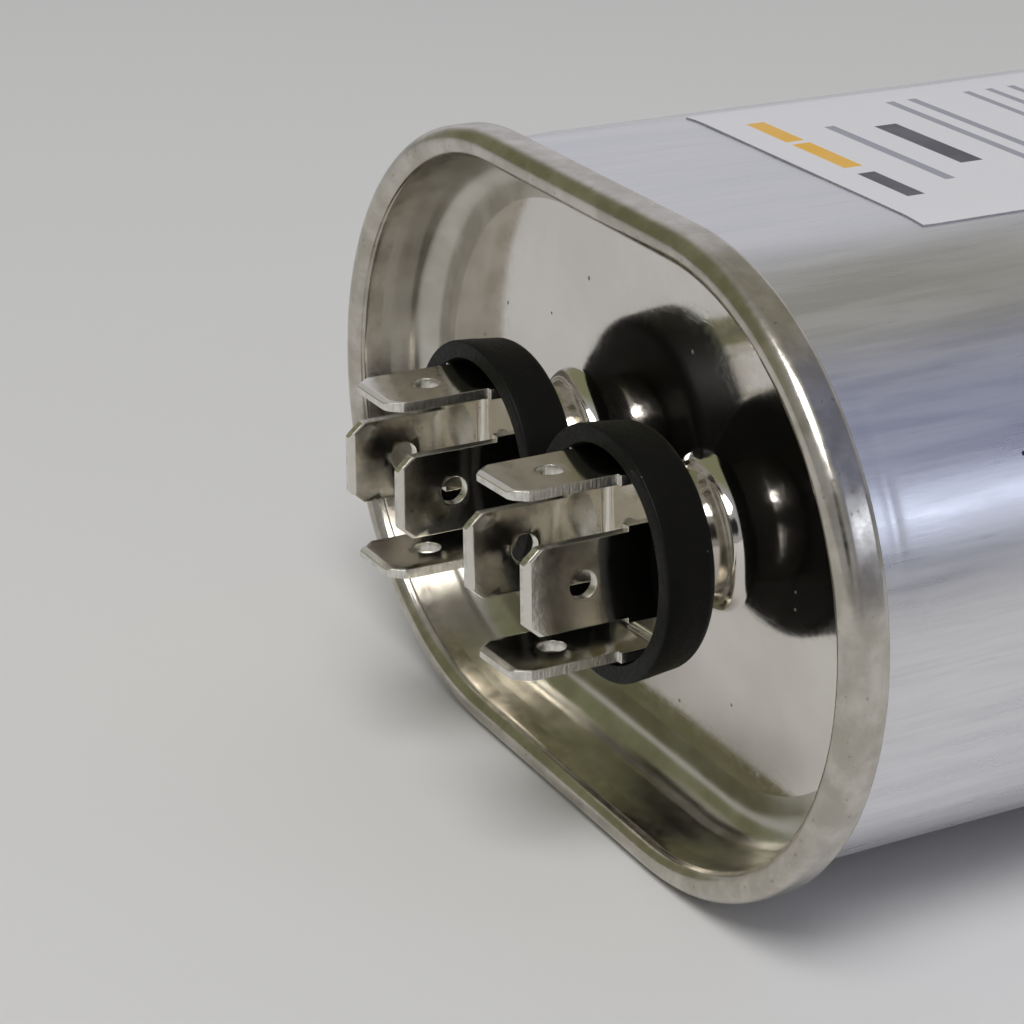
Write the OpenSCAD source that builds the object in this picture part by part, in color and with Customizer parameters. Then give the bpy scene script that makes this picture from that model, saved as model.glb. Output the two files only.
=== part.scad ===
// Motor run capacitor in an oval can, lying on its broad side.
//
// Each piece is drawn standing up: the can's axis is Z, the crest of the seam is Z = 0
// and the terminals point up. lie_down() then puts it in the model's own frame, with X
// along the oval's long axis, Y from the terminals to the can's base and Z up. The
// origin is below the middle of the whole part, on the plane it lies on.

/* [Can] */
// Width of the can over its round ends
can_width = 71; // [62:0.1:90]
// Depth of the can over its flat sides
can_depth = 45.6; // [40:0.1:50]
// Height from the can's base to the crest of the seam
can_height = 98.4; // [80:0.1:130]
// Thickness of the can's sheet
can_sheet = 0.45; // [0.3:0.05:0.6]
// Outer radius of the corner round the can's base
base_corner = 3; // [1.5:0.1:5]

/* [Cover and seam] */
// Thickness of the cover's sheet
cover_sheet = 0.35; // [0.25:0.05:0.45]
// Thickness of the sealing compound between the layers of the seam
compound_film = 0.1; // [0.05:0.05:0.2]
// Height of the double seam
seam_height = 3.3; // [3:0.1:4]
// Depth of the cover's flat panel below the crest of the seam
panel_depth = 7.2; // [6.8:0.1:9]
// Radius of the corner between the cover's wall and its panel
panel_corner = 2.6; // [1:0.1:3]
// Lean of the cover's wall below the seam, in degrees
wall_lean = 5; // [0:1:10]

/* [Terminal bosses] */
// Outer radius of a boss
boss_radius = 4.6; // [4.4:0.05:6]
// Height of a boss above the panel
boss_height = 5.15; // [4:0.05:6.5]
// Height of the flared foot of a boss
boss_foot = 1.2; // [0.6:0.05:1.6]
// Step out from the boss to the top of its foot
boss_step = 0.1; // [0.05:0.01:0.3]
// Cut off the thin outer rim of the foot
boss_foot_trim = 0.3; // [0.1:0.05:0.5]

/* [Insulator cups] */
// Height of a cup
cup_height = 4.3; // [3.5:0.1:6]
// Thickness of a cup's wall at its mouth
cup_wall = 1.36; // [0.8:0.02:2]
// Thickness of a cup's floor
cup_floor = 0.6; // [0.5:0.05:1.5]
// How much narrower a cup is at its back than at its mouth, in radius
cup_draft = 0.3; // [0:0.05:0.6]
// Radius of the corner round a cup's back
cup_corner = 0.9; // [0.3:0.05:1.5]
// Gap between the two cups
cup_gap = 0.45; // [0.2:0.05:6]
// How far a cup's spigot reaches below the boss's top plate
spigot_reach = 0.5; // [0.2:0.05:0.8]

/* [Blade terminals] */
// Width of a quick-connect blade
blade_width = 6.35; // [4.8:0.05:7]
// Thickness of the terminal's sheet
blade_sheet = 0.8; // [0.5:0.05:1]
// Length of a blade from its shoulders to its tip
blade_length = 8.1; // [7:0.1:10]
// Height of the shoulders above the cup's mouth
shoulder_height = 0.3; // [0:0.05:1]
// How much wider the root is than the blade, on each side
root_step = 0.4; // [0.1:0.05:0.6]
// Clear distance between the two side blades
side_gap = 7.44; // [7.4:0.02:9]
// Clear distance between the upper and lower blades
end_gap = 12.28; // [11:0.02:14]
// Distance of the detent hole from the blade's tip
hole_from_tip = 4.55; // [3.5:0.05:5]
// Radius of the detent hole
hole_radius = 1.07; // [0.5:0.01:1.2]
// Corner chamfer at the tip, across the blade
chamfer_across = 1; // [0.4:0.05:1.6]
// Corner chamfer at the tip, along the blade
chamfer_along = 1.15; // [0.4:0.05:1.8]
// Length of the thinned edge along the tip
tip_bevel = 0.5; // [0.3:0.05:1]
// Thickness left at the very tip
tip_sheet = 0.5; // [0.2:0.02:0.7]
// Length of the thinned edge along each corner chamfer
chamfer_bevel = 0.2; // [0.1:0.05:0.5]
// Inner radius of the bend between the base plate and a blade
bend = 0.6; // [0.2:0.05:1]
// Turn of the left terminal in its cup, in degrees
left_turn = 1.5; // [0:0.5:10]
// Turn of the right terminal in its cup, in degrees
right_turn = 3.5; // [0:0.5:10]

/* [Rivets and inner contacts] */
// Radius of a rivet's shank
rivet_radius = 1.5; // [1:0.05:1.6]
// Radius of a rivet's domed head
rivet_head = 2.1; // [1.9:0.05:2.6]
// Height of a rivet's domed head
rivet_head_height = 0.45; // [0.3:0.05:0.8]
// Radius of a rivet's peened tail
rivet_tail = 2.2; // [1.8:0.05:2.3]
// Height of a rivet's peened tail
rivet_tail_height = 0.6; // [0.3:0.05:0.8]
// Thickness of an inner bushing
bushing_height = 1.5; // [1.2:0.05:1.8]
// Thickness of a contact lug
lug_sheet = 0.5; // [0.3:0.05:0.6]
// Width of a contact lug and of the lead straps
strap_width = 4; // [2.5:0.1:4.2]
// Thickness of the lead straps
strap_sheet = 0.2; // [0.1:0.02:0.3]

/* [Pressure interrupter] */
// Gap between the cover's panel and the interrupter plate
plate_gap = 2; // [1:0.1:4]
// Thickness of the interrupter plate
plate_sheet = 1.6; // [1:0.1:2.5]
// Free height between the interrupter plate and the winding
lead_room = 5; // [4:0.1:10]

/* [Winding] */
// Free space between the wrapped winding and the can
winding_clearance = 1.2; // [1.1:0.1:3]
// Thickness of the insulating wrap
wrap_sheet = 0.3; // [0.1:0.05:0.6]
// Thickness of the metal sprayed on each end of the winding
spray_sheet = 0.6; // [0.3:0.05:1]
// Half the thickness of the flat core
core_radius = 1.6; // [1.2:0.1:3]
// Wall of the flat core
core_wall = 0.8; // [0.5:0.1:1]
// Height of the base pad above the level where the long lead clears the can's corner
pad_margin = 0.2; // [0.1:0.05:1]

/* [Label] */
// Width of the label
label_width = 31; // [20:0.5:40]
// Length of the label
label_length = 66; // [30:0.5:70]
// Distance from the crest of the seam to the label
label_from_rim = 19; // [6:0.5:22]
// Thickness of the label
label_sheet = 0.1; // [0.05:0.01:0.2]

/* [Hidden] */
$fn = 96;

// Clearances
slip = 0.05;            // a hole round a shank
fit = 0.15;             // a loose piece in its housing
past = 1;               // how far a cut runs past a face
reach = 20;             // half the side of a cutting wedge, larger than any blade
cup_slip = 0.13;        // from the corners of the terminal's root to the cup's bore
spigot_wall = 0.7;      // wall of the cup's spigot

// The seam's layers, as radii from the oval's centre line, from the can outwards and in
straight = can_width - can_depth;
can_r = can_depth / 2;
can_bore = can_r - can_sheet;
cover_hook_in = can_r + compound_film;
cover_hook_out = cover_hook_in + cover_sheet;
can_hook_in = cover_hook_out + compound_film;
can_hook_out = can_hook_in + can_sheet;
skirt_in = can_hook_out + compound_film;
seam_r = skirt_in + cover_sheet;
wall_out = can_bore - compound_film;
wall_in = wall_out - cover_sheet;
crest_bend = (seam_r - wall_in) / 2;
crest_r = wall_in + crest_bend;
can_bend = (can_hook_out - can_bore) / 2;
skirt_bend = (seam_r - cover_hook_in) / 2;
skirt_r = seam_r - skirt_bend;
skirt_z = skirt_bend - seam_height;
hook_end = 0.15;        // how far each hook stops short of the bend it points into

// The cover's corner, whose circle touches the leaning wall and the panel
panel_z = -panel_depth;
corner_z = panel_z + panel_corner;
corner_r = wall_in - (panel_corner - sin(wall_lean) * (corner_z + seam_height)) / cos(wall_lean);
wall_normal = [cos(wall_lean), -sin(wall_lean)];

// The terminals
root_width = blade_width + 2 * root_step;
terminal_corner = norm([end_gap / 2 + blade_sheet, root_width / 2]);
cup_bore = terminal_corner + cup_slip;
cup_radius = cup_bore + cup_wall;
cup_edge = 0.12;                              // small chamfer round the mouth
terminal_x = cup_radius + cup_gap / 2;
seat_z = panel_z + boss_height;               // the cups' seat on the bosses
cup_top = seat_z + cup_height;
cup_floor_z = seat_z + cup_floor;
blade_base = cup_floor_z + blade_sheet;       // top of the terminal's base plate
shoulder_z = cup_top + shoulder_height;
tip_z = shoulder_z + blade_length;
bevel_lean = atan((blade_sheet - tip_sheet) / 2 / tip_bevel);

// The inner stack below each boss
boss_bore = boss_radius - cover_sheet;
boss_mouth = boss_bore + boss_foot / 2;
spigot_r = rivet_radius + slip + spigot_wall;
bushing_top = seat_z - cover_sheet;
bushing_z = bushing_top - bushing_height;
lug_z = bushing_z - lug_sheet;
lug_y = rivet_tail + fit;                     // inner face of the lug's hanging strip
lug_radius = rivet_tail + fit + lug_sheet / 2;

// The interrupter plate and the winding, from the top down
plate_top = panel_z - cover_sheet - plate_gap;
plate_z = plate_top - plate_sheet;
lug_tail = 1.5;                               // length of lug below the plate
lug_end = plate_z - lug_tail;
spray_top = plate_z - lead_room;
floor_z = can_sheet - can_height;
inner_corner = base_corner - can_sheet;
lead_y = can_bore - winding_clearance / 2;    // middle of the long lead, beside the wrap
lead_edge = lead_y + strap_sheet / 2;
corner_reach = max(0, lead_edge - can_bore + inner_corner);
pad_sheet = inner_corner - sqrt(inner_corner * inner_corner - corner_reach * corner_reach)
    + pad_margin;
pad_top = floor_z + pad_sheet;
spray_bottom = pad_top + strap_sheet;
winding_top = spray_top - spray_sheet;
winding_bottom = spray_bottom + spray_sheet;
wrap_r = can_bore - winding_clearance;
winding_r = wrap_r - wrap_sheet;
strap_foot = 6;                               // length of strap on each sprayed end

// The long lead's sleeve, between the wrap and the can
sleeve_wall = 0.12;
sleeve_top = winding_top;
sleeve_bottom = winding_bottom;

// The lying frame
lie_y = (tip_z - can_height) / 2;
lie_z = seam_r;

// ---- shared shapes ----

// From the standing frame to the model's own frame
module lie_down() {
    translate([0, lie_y, lie_z]) rotate([90, 0, 0]) children();
}

// At the left (side -1) or right (side 1) terminal
module at_terminal(side) {
    translate([side * terminal_x, 0, 0]) children();
}

// A flat oval with its half depth r
module oval(r) {
    square([straight, 2 * r], center = true);
    for (side = [-1, 1]) translate([side * straight / 2, 0]) circle(r);
}

// An oval plate from z to z + height
module oval_plate(r, z, height) {
    translate([0, 0, z]) linear_extrude(height) oval(r);
}

// Carries a half section, drawn at its radius and height, round the oval
module round_oval() {
    for (side = [0, 1]) mirror([side, 0, 0]) translate([straight / 2, 0, 0])
        rotate([0, 0, -90]) rotate_extrude(angle = 180) children();
    translate([-straight / 2, 0, 0]) rotate([90, 0, 90]) linear_extrude(straight) {
        children();
        mirror([1, 0]) children();
    }
}

// A strip of section between two radii and two heights
module strip(r0, r1, z0, z1) {
    translate([r0, z0]) square([r1 - r0, z1 - z0]);
}

// A sector of a circle at [r, z], from angle a to angle b
module sector(r, z, radius, a, b) {
    middle = (a + b) / 2;
    far = 2 * radius;
    translate([r, z]) intersection() {
        circle(radius);
        polygon([[0, 0], far * [cos(a), sin(a)], far * [cos(middle), sin(middle)],
            far * [cos(b), sin(b)]]);
    }
}

// A sector's outer band, down to an inner radius
module band(r, z, inner, outer, a, b) {
    difference() {
        sector(r, z, outer, a, b);
        translate([r, z]) circle(inner);
    }
}

// ---- can, cover and seam ----

module can_hook_section() {
    band(crest_r, -crest_bend, can_bend - can_sheet, can_bend, 0, 90);
    band(crest_r, -crest_bend, can_bend - can_sheet, can_bend, 90, 180);
    strip(can_hook_in, can_hook_out, skirt_z + hook_end, -crest_bend);
}

module can_section() {
    strip(0, can_r - base_corner, -can_height, floor_z);
    band(can_r - base_corner, base_corner - can_height, inner_corner, base_corner, -90, 0);
    strip(can_bore, can_r, base_corner - can_height, -crest_bend);
    can_hook_section();
}

module cover_hook_section() {
    band(skirt_r, skirt_z, skirt_bend - cover_sheet, skirt_bend, -90, 0);
    band(skirt_r, skirt_z, skirt_bend - cover_sheet, skirt_bend, 180, 270);
    strip(cover_hook_in, cover_hook_out, skirt_z, -crest_bend - hook_end);
}

// All that lies inside the dished cover, grown outwards by a sheet, up to the height top
module dish_section(sheet, top) {
    wall_foot = [corner_r, corner_z] + (panel_corner + sheet) * wall_normal;
    polygon([[0, top], [wall_in + sheet, top], [wall_in + sheet, -seam_height], wall_foot,
        [corner_r, corner_z], [0, corner_z]]);
    translate([corner_r, corner_z]) circle(panel_corner + sheet);
    strip(0, corner_r, panel_z - sheet, corner_z);
}

module cover_section() {
    difference() {
        dish_section(cover_sheet, -crest_bend);
        dish_section(0, past - crest_bend);
    }
    band(crest_r, -crest_bend, crest_bend - cover_sheet, crest_bend, 0, 90);
    band(crest_r, -crest_bend, crest_bend - cover_sheet, crest_bend, 90, 180);
    strip(skirt_in, seam_r, skirt_z, -crest_bend);
    cover_hook_section();
}

// What the compound fills between the layers of the seam
module compound_section() {
    difference() {
        union() {
            sector(crest_r, -crest_bend, crest_bend - cover_sheet, 0, 90);
            sector(crest_r, -crest_bend, crest_bend - cover_sheet, 90, 180);
            strip(wall_out, skirt_in, skirt_z, -crest_bend);
            sector(skirt_r, skirt_z, skirt_bend - cover_sheet, -180, -90);
            sector(skirt_r, skirt_z, skirt_bend - cover_sheet, -90, 0);
        }
        strip(can_bore, can_r, skirt_z - past, -crest_bend);
        can_hook_section();
        cover_hook_section();
    }
}

module can() {
    color("silver") lie_down() round_oval() can_section();
}

module seam_compound() {
    color("dimgray") lie_down() round_oval() compound_section();
}

// Outside of a boss: a straight neck on a flared foot
module boss_section() {
    strip(0, boss_radius, panel_z, seat_z);
    difference() {
        strip(0, boss_radius + boss_step + boss_foot - boss_foot_trim, panel_z, panel_z + boss_foot);
        translate([boss_radius + boss_step + boss_foot, panel_z + boss_foot]) circle(boss_foot);
    }
}

module cover() {
    color("lightgray") lie_down() difference() {
        union() {
            round_oval() cover_section();
            for (side = [-1, 1]) at_terminal(side) rotate_extrude() boss_section();
        }
        for (side = [-1, 1]) at_terminal(side) {
            translate([0, 0, panel_z - cover_sheet - past])
                cylinder(r = boss_bore, h = bushing_top - panel_z + cover_sheet + past);
            translate([0, 0, panel_z - cover_sheet])
                cylinder(r1 = boss_mouth, r2 = boss_bore, h = boss_foot);
            translate([0, 0, bushing_top - past])
                cylinder(r = spigot_r + slip, h = cover_sheet + 2 * past);
        }
    }
}

// ---- insulator cups ----

module cup_section() {
    back = cup_radius - cup_draft;
    difference() {
        union() {
            polygon([[0, 0], [back - cup_corner, 0], [back - cup_corner, cup_corner],
                [back, cup_corner], [cup_radius, cup_height - cup_edge],
                [cup_radius - cup_edge, cup_height], [0, cup_height]]);
            translate([back - cup_corner, cup_corner]) circle(cup_corner);
            strip(0, spigot_r, -cover_sheet - spigot_reach, 0);
        }
        strip(0, rivet_radius + slip, -cup_height, cup_height);
        polygon([[0, cup_floor], [cup_bore, cup_floor], [cup_bore, cup_height - cup_edge],
            [cup_bore + cup_edge, cup_height], [cup_bore + cup_edge, cup_height + past],
            [0, cup_height + past]]);
    }
}

module insulator_cup(side) {
    color("#222222") lie_down() at_terminal(side) translate([0, 0, seat_z])
        rotate_extrude() cup_section();
}

// ---- blade terminals ----

// Outline of one upright, from the bend to the tip
module blade_outline() {
    polygon([[-root_width / 2, blade_base + bend], [root_width / 2, blade_base + bend],
        [root_width / 2, shoulder_z], [blade_width / 2, shoulder_z],
        [blade_width / 2, tip_z - chamfer_along], [blade_width / 2 - chamfer_across, tip_z],
        [chamfer_across - blade_width / 2, tip_z], [-blade_width / 2, tip_z - chamfer_along],
        [-blade_width / 2, shoulder_z], [-root_width / 2, shoulder_z]]);
}

// Thins both faces towards an edge that lies along Y at the origin, with the sheet below
module edge_bevel(length) {
    for (face = [0, 1]) mirror([face, 0, 0])
        translate([blade_sheet / 2, -reach, -length]) rotate([0, -bevel_lean, 0])
            cube([blade_sheet, 2 * reach, 2 * length]);
}

// One upright blade, with its sheet centred on X = 0
module blade() {
    chamfer_lean = atan2(chamfer_along, chamfer_across);
    difference() {
        rotate([90, 0, 90]) linear_extrude(blade_sheet, center = true) blade_outline();
        translate([0, 0, tip_z - hole_from_tip]) rotate([0, 90, 0])
            cylinder(r = hole_radius, h = blade_sheet + 2 * past, center = true);
        translate([0, 0, tip_z]) edge_bevel(tip_bevel);
        for (hand = [0, 1]) mirror([0, hand, 0])
            translate([0, (blade_width - chamfer_across) / 2, tip_z - chamfer_along / 2])
                rotate([-chamfer_lean, 0, 0]) edge_bevel(chamfer_bevel);
    }
}

// One arm of the base plate, bent up into a blade whose inner face is at X = inner
module blade_arm(inner) {
    translate([0, -root_width / 2, cup_floor_z]) cube([inner - bend, root_width, blade_sheet]);
    rotate([90, 0, 0]) linear_extrude(root_width, center = true)
        band(inner - bend, blade_base + bend, bend, bend + blade_sheet, -90, 0);
    translate([inner + blade_sheet / 2, 0, 0]) blade();
}

module terminal(side, turn) {
    color("gainsboro") lie_down() at_terminal(side) rotate([0, 0, turn]) difference() {
        union() {
            for (turned = [0, 180]) rotate([0, 0, turned]) blade_arm(side_gap / 2);
            for (turned = [90, 270]) rotate([0, 0, turned]) blade_arm(end_gap / 2);
        }
        translate([0, 0, cup_floor_z - past])
            cylinder(r = rivet_radius + slip, h = blade_sheet + 2 * past);
    }
}

// ---- rivets, bushings and contact lugs ----

// Domed head: a ball cut off where it is as wide as the head
module rivet(side) {
    dome = (rivet_head * rivet_head + rivet_head_height * rivet_head_height)
        / (2 * rivet_head_height);
    color("silver") lie_down() at_terminal(side) {
        intersection() {
            translate([0, 0, blade_base + rivet_head_height - dome]) sphere(dome);
            translate([0, 0, blade_base]) cylinder(r = rivet_head, h = dome);
        }
        translate([0, 0, lug_z]) cylinder(r = rivet_radius, h = blade_base - lug_z);
        translate([0, 0, lug_z - rivet_tail_height])
            cylinder(r1 = rivet_tail - rivet_tail_height / 2, r2 = rivet_tail, h = rivet_tail_height);
    }
}

module inner_bushing(side) {
    color("tan") lie_down() at_terminal(side) difference() {
        translate([0, 0, bushing_z]) cylinder(r = boss_bore - fit, h = bushing_height);
        translate([0, 0, bushing_z - past])
            cylinder(r = rivet_radius + slip, h = bushing_height + 2 * past);
        translate([0, 0, bushing_top - spigot_reach - slip])
            cylinder(r = spigot_r + slip, h = spigot_reach + slip + past);
    }
}

// A washer on the rivet with a strip that hangs through the interrupter plate
module contact_lug(side) {
    color("goldenrod") lie_down() at_terminal(side) difference() {
        union() {
            translate([0, 0, lug_z]) cylinder(r = lug_radius, h = lug_sheet);
            translate([-strap_width / 2, 0, lug_z]) cube([strap_width, lug_y, lug_sheet]);
            translate([-strap_width / 2, lug_y, lug_end])
                cube([strap_width, lug_sheet, lug_z + lug_sheet - lug_end]);
        }
        translate([0, 0, lug_z - past])
            cylinder(r = rivet_radius + slip, h = lug_sheet + 2 * past);
    }
}

module interrupter_plate() {
    slot = [strap_width + 2 * fit, lug_sheet + 2 * slip];
    color("peru") lie_down() translate([0, 0, plate_z]) linear_extrude(plate_sheet) difference() {
        oval(can_bore - fit);
        for (side = [-1, 1])
            translate([side * terminal_x, lug_y + lug_sheet / 2]) square(slot, center = true);
    }
}

// ---- leads ----

// A piece of strap at the given terminal, from corner a to corner b in Y and Z
module strap_run(side, a, b) {
    at_terminal(side) translate([-strap_width / 2, a[0], a[1]])
        cube([strap_width, b[0] - a[0], b[1] - a[1]]);
}

// The short lead, from the left lug to the winding's upper end
module lead_strap_left() {
    outer = lug_y + lug_sheet;
    color("silver") lie_down() {
        strap_run(-1, [outer, spray_top], [outer + strap_sheet, lug_end + lug_tail / 2]);
        strap_run(-1, [outer - strap_foot, spray_top], [outer + strap_sheet, spray_top + strap_sheet]);
    }
}

// The long lead, from the right lug down the side of the winding to its lower end
module lead_strap_right() {
    outer = lug_y + lug_sheet;
    color("silver") lie_down() {
        strap_run(1, [outer, lug_end], [outer + strap_sheet, lug_end + lug_tail / 2]);
        strap_run(1, [outer, lug_end], [lead_edge, lug_end + strap_sheet]);
        strap_run(1, [lead_edge - strap_sheet, pad_top], [lead_edge, lug_end + strap_sheet]);
        strap_run(1, [winding_r - strap_foot, pad_top], [lead_edge, pad_top + strap_sheet]);
    }
}

module lead_sleeve() {
    bore = [strap_width + 2 * slip, strap_sheet + 2 * slip];
    color("ivory") lie_down() at_terminal(1) translate([0, lead_y, sleeve_bottom])
        linear_extrude(sleeve_top - sleeve_bottom) difference() {
            square(bore + 2 * sleeve_wall * [1, 1], center = true);
            square(bore, center = true);
        }
}

// ---- winding ----

module end_spray(z) {
    color("slategray") lie_down() difference() {
        oval_plate(winding_r, z, spray_sheet);
        oval_plate(core_radius, z - past, spray_sheet + 2 * past);
    }
}

module film_winding() {
    height = winding_top - winding_bottom;
    color("lightsteelblue") lie_down() difference() {
        oval_plate(winding_r, winding_bottom, height);
        oval_plate(core_radius, winding_bottom - past, height + 2 * past);
    }
}

module winding_core() {
    height = spray_top - spray_bottom;
    color("white") lie_down() difference() {
        oval_plate(core_radius, spray_bottom, height);
        oval_plate(core_radius - core_wall, spray_bottom - past, height + 2 * past);
    }
}

module winding_wrap() {
    height = spray_top - spray_bottom;
    color("khaki") lie_down() difference() {
        oval_plate(wrap_r, spray_bottom, height);
        oval_plate(winding_r, spray_bottom - past, height + 2 * past);
    }
}

module base_pad() {
    color("burlywood") lie_down() oval_plate(can_bore - inner_corner, floor_z, pad_sheet);
}

// ---- label ----

module label() {
    color("white") lie_down() translate([0, 0, -label_from_rim - label_length])
        linear_extrude(label_length) intersection() {
            difference() {
                oval(can_r + label_sheet);
                oval(can_r);
            }
            translate([-label_width / 2, 0]) square([label_width, can_depth]);
        }
}

can();
cover();
seam_compound();
insulator_cup(-1);  // insulator_cup_left
insulator_cup(1);  // insulator_cup_right
terminal(-1, left_turn);  // terminal_left
terminal(1, right_turn);  // terminal_right
rivet(-1);  // rivet_left
rivet(1);  // rivet_right
inner_bushing(-1);  // inner_bushing_left
inner_bushing(1);  // inner_bushing_right
contact_lug(-1);  // contact_lug_left
contact_lug(1);  // contact_lug_right
interrupter_plate();
lead_strap_left();
lead_strap_right();
lead_sleeve();
end_spray(winding_top);  // end_spray_upper
end_spray(spray_bottom);  // end_spray_lower
film_winding();
winding_core();
winding_wrap();
base_pad();
label();
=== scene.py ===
import bpy
import bmesh
import math
import numpy as np
from mathutils import Matrix, Vector, noise
from mathutils.geometry import delaunay_2d_cdt


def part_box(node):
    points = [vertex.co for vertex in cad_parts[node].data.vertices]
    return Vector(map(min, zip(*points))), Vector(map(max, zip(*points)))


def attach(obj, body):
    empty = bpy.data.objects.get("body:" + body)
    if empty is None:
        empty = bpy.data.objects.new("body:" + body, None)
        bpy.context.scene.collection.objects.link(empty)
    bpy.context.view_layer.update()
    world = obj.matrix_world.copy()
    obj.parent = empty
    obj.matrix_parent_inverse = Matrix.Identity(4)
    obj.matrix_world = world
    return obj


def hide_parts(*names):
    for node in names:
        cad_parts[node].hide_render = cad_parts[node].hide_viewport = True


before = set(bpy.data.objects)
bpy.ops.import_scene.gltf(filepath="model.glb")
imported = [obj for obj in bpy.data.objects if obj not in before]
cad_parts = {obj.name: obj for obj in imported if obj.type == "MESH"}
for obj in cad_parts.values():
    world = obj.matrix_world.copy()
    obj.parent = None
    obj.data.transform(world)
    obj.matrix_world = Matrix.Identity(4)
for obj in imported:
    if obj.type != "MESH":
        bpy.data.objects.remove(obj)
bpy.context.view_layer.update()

MM = 0.001
rng = np.random.default_rng(7)

# ---------------------------------------------------------------- sizes, in mm
# Depth d is measured along Y from the crest of the seam towards the base; h is the
# height over the can's axis.
base_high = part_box("can")[1].y / MM
CREST_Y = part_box("cover")[0].y / MM
AXIS_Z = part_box("cover")[1].z / MM / 2
STRAIGHT = 25.4 / 2              # half of the oval's straight side
CAN_R = 22.8
CAN_LENGTH = base_high - CREST_Y
BASE_CORNER = 3.0
SEAM_R = 24.25
SEAM_HEIGHT = 3.3
CREST_BEND = 1.175
CREST_R = SEAM_R - CREST_BEND
WALL_IN = 21.9
SKIRT_BEND = 0.675
SKIRT_R = SEAM_R - SKIRT_BEND
PANEL = 7.2
CORNER = 2.6
WALL_LEAN = math.radians(5)
PANEL_STEP = 1.2                 # from the dish's corner to where the panel's mesh begins
CORNER_D = PANEL - CORNER
CORNER_R = WALL_IN - (CORNER + math.sin(WALL_LEAN) * (CORNER_D - SEAM_HEIGHT)) / math.cos(WALL_LEAN)
TERMINAL_X = 9.521
SEAT = 2.05
CUP_HEIGHT = 4.3
CUP_R = 9.297
CUP_BORE = 7.937
CUP_DRAFT = 0.3
CUP_CORNER = 0.9
CUP_LIP = 0.16                   # rounding of the cup's mouth
CUP_FLOOR = 0.6
CUP_FILLET = 0.2                 # rounding round the cup's floor, inside
CUP_HOLE = 1.6                   # hole for the rivet
BOSS_R = 4.6
BOSS_FOOT = 1.2
BOSS_STEP = 0.1
APRON = 2.4                      # width of the ring round each foot in which the panel rises
APRON_RISE = 0.10


def place(x, h, d):
    """A point in the row frame, in metres, from mm."""
    return (x * MM, (CREST_Y + d) * MM, (AXIS_Z + h) * MM)


# ---------------------------------------------------------------- mesh helpers

def make_object(name, verts, faces, uvs=None, materials=(), face_material=None, smooth=True,
                sharp=None):
    """verts are in mm as (x, h, d); uvs is one (u, v) per face corner."""
    me = bpy.data.meshes.new(name)
    me.from_pydata([place(*v) for v in verts], [], faces)
    if uvs is not None:
        layer = me.uv_layers.new(name="flow")
        layer.uv.foreach_set("vector", np.asarray(uvs, np.float32).ravel())
    for m in materials:
        me.materials.append(m)
    if face_material is not None:
        me.polygons.foreach_set("material_index", np.asarray(face_material, np.int32))
    me.validate()
    me.update()
    ob = bpy.data.objects.new(name, me)
    bpy.context.scene.collection.objects.link(ob)
    if smooth:
        me.shade_smooth()
        if sharp is not None:
            me.set_sharp_from_angle(angle=math.radians(sharp))
    return ob


def join_parts(parts):
    """Joins (verts, faces, uvs, materials) into one set of lists."""
    verts, faces, uvs, mats = [], [], [], []
    for v, f, u, m in parts:
        base = len(verts)
        verts += [tuple(p) for p in v]
        faces += [tuple(i + base for i in face) for face in f]
        uvs += [tuple(p) for p in u]
        mats += list(m)
    return verts, faces, uvs, mats


def arc(cr, cd, radius, a, b, n):
    """Points (r, d) on an arc; 0 degrees points outwards and 90 towards the base."""
    return [(cr + radius * math.cos(t), cd + radius * math.sin(t))
            for t in np.radians(np.linspace(a, b, n + 1))]


def merge_profile(*runs):
    out = []
    for run in runs:
        for p in run:
            if not out or math.dist(out[-1], p) > 1e-4:
                out.append(p)
    return out


def oval_ring(n_straight, n_arc):
    """Rows of (centre x, outward x, outward h, distance along), from the middle of the
    lower side round by +X. The last row repeats the first one."""
    rows = []
    half = STRAIGHT
    for t in np.linspace(0, half, n_straight + 1)[:-1]:
        rows.append((t, 0.0, -1.0, t))
    for a in np.linspace(-90, 90, n_arc + 1)[:-1]:
        c = math.radians(a)
        rows.append((half, math.cos(c), math.sin(c), half + CAN_R * (c + math.pi / 2)))
    s = half + CAN_R * math.pi
    for t in np.linspace(0, 2 * half, 2 * n_straight + 1)[:-1]:
        rows.append((half - t, 0.0, 1.0, s + t))
    s += 2 * half
    for a in np.linspace(90, 270, n_arc + 1)[:-1]:
        c = math.radians(a)
        rows.append((-half, math.cos(c), math.sin(c), s + CAN_R * (c - math.pi / 2)))
    s += CAN_R * math.pi
    for t in np.linspace(0, half, n_straight + 1):
        rows.append((t - half, 0.0, -1.0, s + t))
    return np.array(rows)


def sweep_oval(profile, ring, move=None, material=0):
    """Carries (r, d) points round the oval. move(s, v, x, h, d) gives inward shifts (in r)
    and shifts along d."""
    prof = np.array(profile, float)
    v_len = np.concatenate([[0], np.cumsum(np.hypot(*np.diff(prof, axis=0).T))])
    count = len(ring) - 1
    m = len(prof)
    verts = []
    for cx, nx, nh, s in ring[:-1]:
        for (r, d), v in zip(prof, v_len):
            dr, dd = move(s, v, cx + r * nx, r * nh, d) if move else (0.0, 0.0)
            verts.append((cx + (r + dr) * nx, (r + dr) * nh, d + dd))
    faces, uvs = [], []
    for i in range(count):
        j = (i + 1) % count
        for k in range(m - 1):
            faces.append((i * m + k, j * m + k, j * m + k + 1, i * m + k + 1))
            s0, s1 = ring[i][3], ring[i + 1][3]
            uvs += [(s0, v_len[k]), (s1, v_len[k]), (s1, v_len[k + 1]), (s0, v_len[k + 1])]
    return verts, faces, uvs, [material] * len(faces)


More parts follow.
